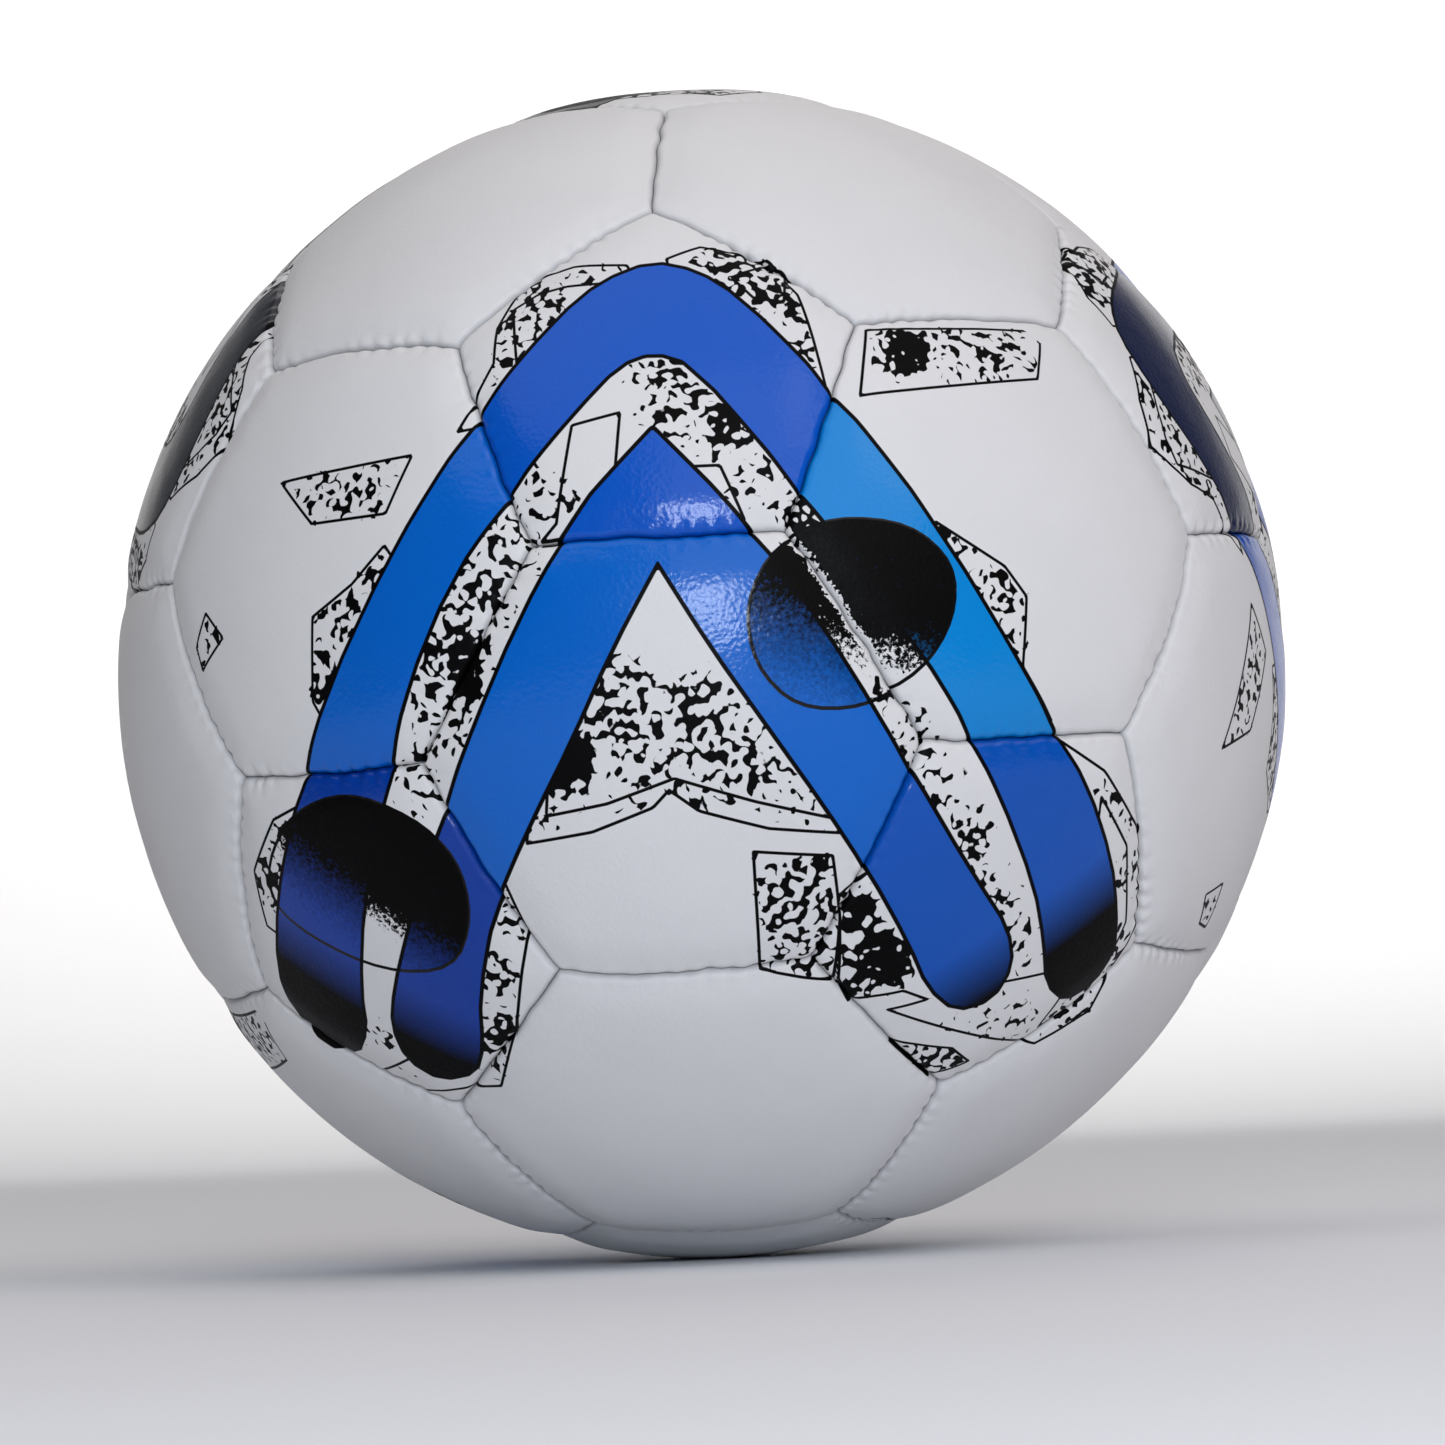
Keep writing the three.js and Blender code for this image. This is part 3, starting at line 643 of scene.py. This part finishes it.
# For each pattern: the hexagon in its middle, the pentagon at its crown, its loose marks,
# and its inks, for the middle panel and then for the six round it, clockwise from the crown.
PATTERNS = [
    ("hexagon_lower_middle_1", "pentagon_upper_1", LOOSE_MARKS,
     ("#0064c8", "#0055c2", "#0086d6", "#0052b6", "#0056bc", "#003a9c", "#0063c8")),
    ("hexagon_upper_middle_2", "pentagon_upper_2", LOOSE_MARKS[1:],
     ("#0a3f9c", "#02123f", "#08449c", "#16181d", "#1c2026", "#16181d", "#0a4fb0")),
    ("hexagon_upper_4", "pentagon_upper_5", LOOSE_MARKS[3:],
     ("#3f4248", "#2b2d33", "#33363c", "#4a4d54", "#3a3d43", "#26282d", "#4f5359")),
    ("hexagon_lower_4", "pentagon_lower_4", LOOSE_MARKS,
     ("#0d63c8", "#0a56bc", "#0086d6", "#0b4fb4", "#0057c4", "#10131a", "#0059c2"))]


def eased(outline, sharp=()):
    """The same outline with its corners cut, apart from the sharp ones, as a smooth curve."""
    points = [np.array(point, float) for point in outline]
    curve = []
    for number, here in enumerate(points):
        if tuple(here) in sharp:
            curve.append(here)
        else:
            for other in (points[number - 1], points[(number + 1) % len(points)]):
                curve.append((1 - CORNER_CUT) * here + CORNER_CUT * other)
    return curve


def gap_to(spots, outline):
    """Distance in mm from each spot to a closed outline, negative inside it."""
    corners = np.array(outline, float)
    nearest = np.full(len(spots), np.inf)
    inside = np.zeros(len(spots), bool)
    for start, end in zip(corners, np.roll(corners, -1, axis=0)):
        along = end - start
        offset = spots - start
        share = np.clip((offset @ along) / (along @ along), 0, 1)
        nearest = np.minimum(nearest, ((offset - share[:, None] * along) ** 2).sum(1))
        rise = along[1] if abs(along[1]) > 1e-6 else 1e-6
        crossing = start[0] + (spots[:, 1] - start[1]) * along[0] / rise
        inside ^= ((start[1] > spots[:, 1]) != (end[1] > spots[:, 1])) & (spots[:, 0] < crossing)
    return np.where(inside, -1.0, 1.0) * np.sqrt(nearest)


def nearest_of(spots, outlines):
    """Distance to the nearest of several closed outlines."""
    return np.min([gap_to(spots, outline) for outline in outlines], axis=0)


def printed(ways, middle_way, patterns, draw):
    """What the screens lay on a panel: its distances, inks and dye at each point."""
    count = len(ways)
    inks = {"band": np.full(count, FAR), "outline_under": np.full(count, FAR),
            "outline_over": np.full(count, FAR), "flecks": np.zeros(count),
            "shade_edge": np.full(count, FAR), "shade": np.zeros(count),
            "foot_shade": np.zeros(count)}
    dye = np.tile(np.array(linear("#0a5cc4")), (count, 1))
    slip = draw.normal(size=2) * SCREEN_SLIP
    for centre, crown, marks, colours in patterns:
        middle = turns[centre][:, 2]
        up = turns[crown][:, 2] - (turns[crown][:, 2] @ middle) * middle
        up /= np.linalg.norm(up)
        right = np.cross(up, middle)
        bend = np.arccos(np.clip(ways @ middle, -1, 1))
        near = np.flatnonzero(bend * BALL_MM < PATTERN_REACH)
        if len(near) == 0:
            continue
        flat = np.stack([ways[near] @ right, ways[near] @ up], axis=1)
        flat *= (bend[near] * BALL_MM / np.maximum(np.linalg.norm(flat, axis=1), 1e-9))[:, None]
        flat += slip
        band = nearest_of(flat, (eased(OUTER_BAND), eased(INNER_BAND, BAND_TIPS)))
        better = band < inks["band"][near]
        azimuth = math.degrees(math.atan2(middle_way @ right, middle_way @ up))
        at_middle = middle_way @ middle > 0.99
        colour = colours[0] if at_middle else colours[1 + round(azimuth / 60) % 6]
        dye[near[better]] = linear(colour)
        inks["band"][near] = np.minimum(inks["band"][near], band)
        outlines = {"outline_under": UNDER_OUTLINES + marks, "outline_over": OVER_OUTLINES}
        for key, shapes in outlines.items():
            inks[key][near] = np.minimum(inks[key][near], nearest_of(flat, shapes))
        flecks = np.zeros(len(near))
        for x, y, size, amount in FLECKS:
            reach = ((flat - (x, y)) ** 2).sum(1) / (FLECK_SPREAD * size) ** 2
            flecks = np.maximum(flecks, amount * np.exp(-reach ** 2))
        field = nearest_of(flat, UNDER_OUTLINES + marks + [FLECK_FIELD])
        flecks *= np.clip(0.6 - field, 0, 1)
        inks["flecks"][near] = np.maximum(inks["flecks"][near], flecks)
        for outline, fade, full, clear in SHADES:
            edge = gap_to(flat, eased(eased(outline)))
            depth = np.clip((flat @ fade - clear) / (full - clear), 0, 1)
            inks["shade"][near] = np.where(edge < 3, depth, inks["shade"][near])
            inks["shade_edge"][near] = np.minimum(inks["shade_edge"][near], edge)
        sink = flat[:, 1] - FOOT_SLANT * np.abs(flat[:, 0])
        right_foot, left_foot = (np.clip((sink - start) / (end - start), 0, 1)
                                 for start, end in (RIGHT_FOOT_SHADE, LEFT_FOOT_SHADE))
        foot = np.where(flat[:, 0] > 0, right_foot, left_foot) * (band < 2)
        inks["foot_shade"][near] = np.maximum(inks["foot_shade"][near], foot)
    return inks, dye


printer = np.random.default_rng(21)
for name, piece in panels.items():
    spots = np.empty(len(piece.data.vertices) * 3)
    piece.data.vertices.foreach_get("co", spots)
    ways = spots.reshape(-1, 3)
    ways = ways / np.linalg.norm(ways, axis=1)[:, None]
    patterns = [] if name in PLAIN_PANELS else PATTERNS
    inks, dye = printed(ways, turns[name][:, 2], patterns, printer)
    for key, values in inks.items():
        ink = piece.data.attributes.new(key, "FLOAT", "POINT")
        ink.data.foreach_set("value", values.astype(np.float32))
    colour = piece.data.attributes.new("dye", "FLOAT_COLOR", "POINT")
    colour.data.foreach_set("color", dye.astype(np.float32).ravel())

# Polyurethane synthetic leather, embossed and screen printed: a clean satin white skin
# with a fine pebble grain, coloured inks under a clear gloss that glints over the grain,
# and matt black ink that looks brushed on.
OUTLINE_WIDTH = 0.8
FINE_LINE = 0.3
EDGE_BLUR = 0.05
FLECK_CUT = 0.755
GLOSS_COAT = 0.5
leather, tree, shader = new_material("printed_pu_leather", {
    "IOR": 1.42, "Coat Roughness": 0.15, "Specular IOR Level": 0.1})
place = add_node(tree, "TexCoord").outputs["Object"]


def ink_layer(name):
    """One of the print's distances or amounts, kept on the panel's points."""
    return add_node(tree, "Attribute", {"attribute_name": name}).outputs["Fac"]


def ramp(value, low, high, at_low, at_high):
    """Turns the range from low to high into at_low to at_high, and stops at both ends."""
    return add_node(tree, "MapRange", None, {
        "Value": value, "From Min": low, "From Max": high,
        "To Min": at_low, "To Max": at_high}).outputs["Result"]


def combined(kind, first, second):
    """Two values, or outputs, put together by one sum."""
    node = add_node(tree, "Math", {"operation": kind})
    for socket, value in zip(node.inputs, (first, second)):
        if isinstance(value, bpy.types.NodeSocket):
            tree.links.new(value, socket)
        else:
            socket.default_value = value
    return node.outputs["Value"]


def over(under, paint, mask):
    """Paint laid over a colour wherever the mask is 1."""
    return add_node(tree, "MixRGB", None, {
        "Fac": mask, "Color1": under, "Color2": paint}).outputs["Color"]


# Brushed flecks: curls about 2 mm apart, which follow the middle values of one noise and are
# broken by another, and which join into solid black where the ink lies thick.
strokes = add_node(tree, "TexNoise", None, {
    "Vector": place, "Scale": 510, "Detail": 0, "Distortion": 0.1})
breaks = add_node(tree, "TexNoise", None, {
    "Vector": place, "Scale": 590, "Detail": 0, "Distortion": 0.1})
bristles = add_node(tree, "TexNoise", None, {
    "Vector": place, "Scale": 1500, "Detail": 1, "Roughness": 0.5})
off_stroke = combined("ABSOLUTE", combined("SUBTRACT", strokes.outputs["Fac"], 0.5), 0.0)
brush = combined("ADD", combined("MULTIPLY", off_stroke, -1.2), combined(
    "MULTIPLY", breaks.outputs["Fac"], 0.85))
brush = combined("ADD", brush, combined("MULTIPLY", bristles.outputs["Fac"], 0.05))
brush = combined("ADD", brush, 0.155)
inked = ink_layer("flecks")
flecked = ramp(combined("ADD", brush, combined("MULTIPLY", inked, 0.40)),
               FLECK_CUT, FLECK_CUT + 0.025, 0.0, 1.0)
flecked = combined("MULTIPLY", flecked, ramp(inked, 0.03, 0.05, 0.0, 1.0))

# White skin with a slight drift of tone every 20 mm, then the fine outlines over it, and the
# wider black outline round the bands.
ink_drift = add_node(tree, "TexNoise", None, {
    "Vector": place, "Scale": 45, "Detail": 2})
skin_tone = over(linear("#dddddf"), linear("#e3e3e4"), ink_drift.outputs["Fac"])
print_black = linear("#030304")
tone = over(skin_tone, print_black, flecked)
for layer in ("outline_under", "outline_over"):
    edge = combined("ABSOLUTE", ink_layer(layer), 0.0)
    line = ramp(edge, FINE_LINE - EDGE_BLUR, FINE_LINE + EDGE_BLUR, 1.0, 0.0)
    tone = over(tone, print_black, line)
band = ink_layer("band")
band_line = ramp(band, OUTLINE_WIDTH - 0.06, OUTLINE_WIDTH + 0.06, 1.0, 0.0)
tone = over(tone, print_black, band_line)

# The dyes of the bands, and the black plates, which fade out in a spray of 0.8 mm dots and
# have worn off along the seams.
dye_layer = add_node(tree, "Attribute", {"attribute_name": "dye"}).outputs["Color"]
mist = add_node(tree, "TexNoise", None, {
    "Vector": place, "Scale": 1300, "Detail": 2, "Roughness": 0.7})
misty = combined("MULTIPLY", combined("SUBTRACT", mist.outputs["Fac"], 0.5), 0.8)
crease = ink_layer("crease")
in_plate = ramp(ink_layer("shade_edge"), -0.1, 0.1, 1.0, 0.0)
worn = combined("ADD", crease, combined("MULTIPLY", bristles.outputs["Fac"], -2.4))
in_plate = combined("MULTIPLY", in_plate, ramp(worn, -0.40, -0.30, 0.0, 1.0))
shade = combined("ADD", ink_layer("shade"), misty)
on_dye = combined("MULTIPLY", in_plate, ramp(shade, 0.15, 0.85, 0.0, 1.0))
on_white = combined("MULTIPLY", in_plate, ramp(shade, 0.62, 0.70, 0.0, 1.0))
at_foot = ink_layer("foot_shade")
dyed = over(over(dye_layer, print_black, at_foot), print_black, on_dye)
in_band = ramp(band, -EDGE_BLUR, EDGE_BLUR, 1.0, 0.0)
tone = over(over(tone, print_black, on_white), dyed, in_band)
plate_line = combined("ABSOLUTE", ink_layer("shade_edge"), 0.0)
tone = over(tone, print_black, ramp(plate_line, FINE_LINE, FINE_LINE + 0.1, 1.0, 0.0))

# Painted shade: a little grey is multiplied into the colour along the seams, most at their bottom
# and gone 0.8 mm from them, where the valleys fall into shade.
tone = add_node(tree, "MixRGB", {"blend_type": "MULTIPLY"}, {
    "Fac": ramp(crease, 0.0, 0.8, 0.32, 0.0), "Color1": tone,
    "Color2": linear("#464a52")}).outputs["Color"]
tree.links.new(tone, shader.inputs["Base Color"])

# The embossed grain: pebbles 0.85 mm across, with finer crazing over them. The coloured inks
# fill it a little, so they are smoother under their clear gloss.
PEBBLE = 1 / (0.85 * MM)
pebbles = add_node(tree, "TexVoronoi", {"feature": "SMOOTH_F1"}, {
    "Vector": place, "Scale": PEBBLE, "Smoothness": 0.6})
crazing = add_node(tree, "TexNoise", None, {
    "Vector": place, "Scale": PEBBLE * 1.6, "Detail": 2, "Roughness": 0.6})
relief = combined("ADD", pebbles.outputs["Distance"], combined(
    "MULTIPLY", crazing.outputs["Fac"], 0.7))
bump = add_node(tree, "Bump", None, {
    "Height": relief, "Strength": 0.8, "Distance": 0.05 * MM})
tree.links.new(bump.outputs["Normal"], shader.inputs["Normal"])
tree.links.new(bump.outputs["Normal"], shader.inputs["Coat Normal"])
gloss = ramp(crazing.outputs["Fac"], 0.3, 0.7, 0.42, 0.52)
in_black = combined("MAXIMUM", on_dye, at_foot)
in_ink = combined("MULTIPLY", in_band, combined("SUBTRACT", 1.0, in_black))
gloss = combined("SUBTRACT", gloss, combined("MULTIPLY", in_ink, 0.1))
tree.links.new(gloss, shader.inputs["Roughness"])
tree.links.new(combined("MULTIPLY", in_ink, GLOSS_COAT), shader.inputs["Coat Weight"])

for name, piece in panels.items():
    piece.data.materials.append(leather)
    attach(piece, "root")
    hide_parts(name)

# ---------------------------------------------------------------------------
# The stitches: waxed twisted polyester yarn, drawn through both turned-in edges
# about every 3.7 mm. It lies at the bottom of each seam and shows only where the
# edges part a little. Each half is sewn first, and the closing seam joins them.
# ---------------------------------------------------------------------------
# Sizes in mm. Panels whose middles are under 43 degrees apart share a seam.
YARN_WIDTH = 0.75
STITCH_LENGTH = 4.3
STITCH_RADIUS = 106.15
STITCHES_PER_SEAM = 12
NEIGHBOURS_WITHIN = 43
YARN_LEAN = 0.10
YARN_LIFT = 0.16
STITCH_BOW = 1.5
start_fresh()
bpy.ops.mesh.primitive_uv_sphere_add(segments=6, ring_count=7, radius=0.5, location=(0, 0, 0))
stitch = bpy.context.object
bpy.ops.object.mode_set(mode="EDIT")
bpy.ops.mesh.select_all(action="SELECT")
bpy.ops.transform.resize(value=(YARN_WIDTH * MM, YARN_WIDTH * MM, STITCH_LENGTH * MM))
bpy.ops.object.mode_set(mode="OBJECT")
bpy.ops.object.shade_smooth()
shape = np.array([v.co for v in stitch.data.vertices])

# Waxed polyester yarn: off-white and slightly shiny, with a twist every 1.2 mm.
yarn, tree, shader = new_material("waxed_polyester_yarn", {
    "Roughness": 0.5, "Sheen Weight": 0.2, "IOR": 1.5})
own_map = add_node(tree, "UVMap", {"uv_map": "UVMap"}).outputs["UV"]
twisted = add_node(tree, "Mapping", None, {
    "Vector": own_map, "Rotation": (0, 0, math.radians(35)), "Scale": (1, 4, 1)})
plies = add_node(tree, "TexWave", {"bands_direction": "Y"}, {
    "Vector": twisted.outputs["Vector"], "Scale": 1.2, "Distortion": 0.6})
tone = add_node(tree, "MixRGB", None, {
    "Fac": plies.outputs["Fac"], "Color1": linear("#a9abad"), "Color2": linear("#ebebe8")})
bump = add_node(tree, "Bump", None, {
    "Height": plies.outputs["Fac"], "Strength": 0.7, "Distance": 0.12 * MM})
tree.links.new(tone.outputs["Color"], shader.inputs["Base Color"])
tree.links.new(bump.outputs["Normal"], shader.inputs["Normal"])


def half_of(name):
    """The half of the ball that a panel is sewn into before the halves are joined."""
    return "upper" if turns[name][2, 2] > 0 else "lower"


seams = {"thread_upper_half": [], "thread_lower_half": [], "thread_closing_seam": []}
for i, first in enumerate(PANELS):
    for second in PANELS[i + 1:]:
        a, b = turns[first][:, 2], turns[second][:, 2]
        apart = math.degrees(math.acos(np.clip(a @ b, -1, 1)))
        if apart > NEIGHBOURS_WITHIN:
            continue
        share = PENTAGON_INRADIUS if first.startswith("pentagon") else HEXAGON_INRADIUS
        other = PENTAGON_INRADIUS if second.startswith("pentagon") else HEXAGON_INRADIUS
        middle = a * math.sin(other) + b * math.sin(share)
        middle /= np.linalg.norm(middle)
        along = np.cross(a, b)
        along /= np.linalg.norm(along)
        halves = {half_of(first), half_of(second)}
        thread = "thread_closing_seam" if len(halves) == 2 else f"thread_{halves.pop()}_half"
        seams[thread].append((middle, along))

for thread, runs in seams.items():
    copies = []
    for middle, along in runs:
        for step in range(STITCHES_PER_SEAM):
            run = (step - (STITCHES_PER_SEAM - 1) / 2) * STITCH_PITCH / BALL_MM
            way = middle * math.cos(run) + along * math.sin(run)
            on = along * math.cos(run) - middle * math.sin(run)
            across = np.cross(on, way)
            lean = YARN_LEAN * stitch_shift(way[None] * BALL_MM)[0]
            on = on + across * lean
            on /= np.linalg.norm(on)
            across = np.cross(on, way)
            lift = STITCH_RADIUS + YARN_LIFT * stitch_pull(way[None] * BALL_MM + 40)[0]
            bow = -(shape[:, 2] / (STITCH_LENGTH * MM)) ** 2 * STITCH_BOW * MM
            placed = (shape[:, :1] * across + (shape[:, 1:2] + bow[:, None]) * way
                      + shape[:, 2:] * on + wandered(way[None]) * lift * MM)
            copies.append(placed)
    start_fresh()
    pieces = []
    for number, placed in enumerate(copies):
        mesh = stitch.data.copy()
        mesh.vertices.foreach_set("co", placed.ravel())
        one = bpy.data.objects.new(f"{thread}_stitch_{number}", mesh)
        bpy.context.scene.collection.objects.link(one)
        one.select_set(True)
        pieces.append(one)
    bpy.context.view_layer.objects.active = pieces[0]
    bpy.ops.object.join()
    sewn = bpy.context.object
    sewn.name = sewn.data.name = thread + "_stitches"
    bpy.ops.object.mode_set(mode="EDIT")
    bpy.ops.mesh.select_all(action="SELECT")
    bpy.ops.mesh.normals_make_consistent(inside=False)
    bpy.ops.object.mode_set(mode="OBJECT")
    sewn.data.materials.append(yarn)
    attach(sewn, "root")
    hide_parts(thread)
bpy.data.objects.remove(stitch)
